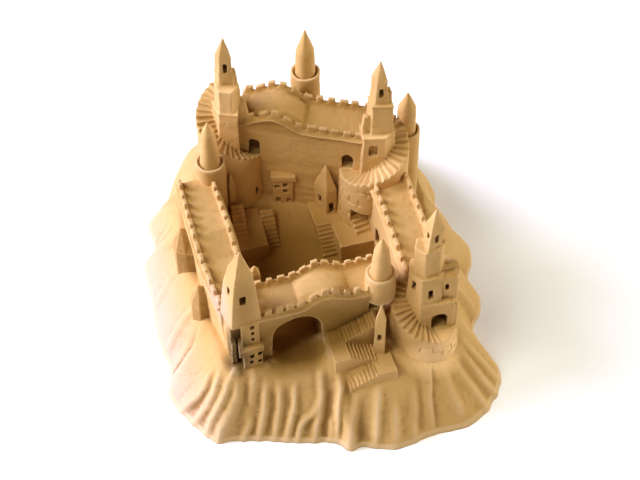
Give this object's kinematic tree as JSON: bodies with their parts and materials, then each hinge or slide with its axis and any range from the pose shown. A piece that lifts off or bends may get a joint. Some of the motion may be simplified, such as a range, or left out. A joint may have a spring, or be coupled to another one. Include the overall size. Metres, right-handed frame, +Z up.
{
  "type": "sandcastle",
  "caption": "Hand-carved walled sandcastle with towers, stairs and a gateway on its own folded mound, cut off flat at the ground.",
  "frame": {"origin": "middle of the mound's flat foot, on the ground", "axes": "+Z up, +Y from the gate towards the back wall, +X along the front wall to the right as seen from the gate"},
  "size_m": [0.4484, 0.5936, 0.374],
  "materials": {
    "packed_sand": "matte packed damp sand, fine grained"
  },
  "bodies": {
    "root": {"sandcastle": "packed_sand"}
  },
  "joints": []
}
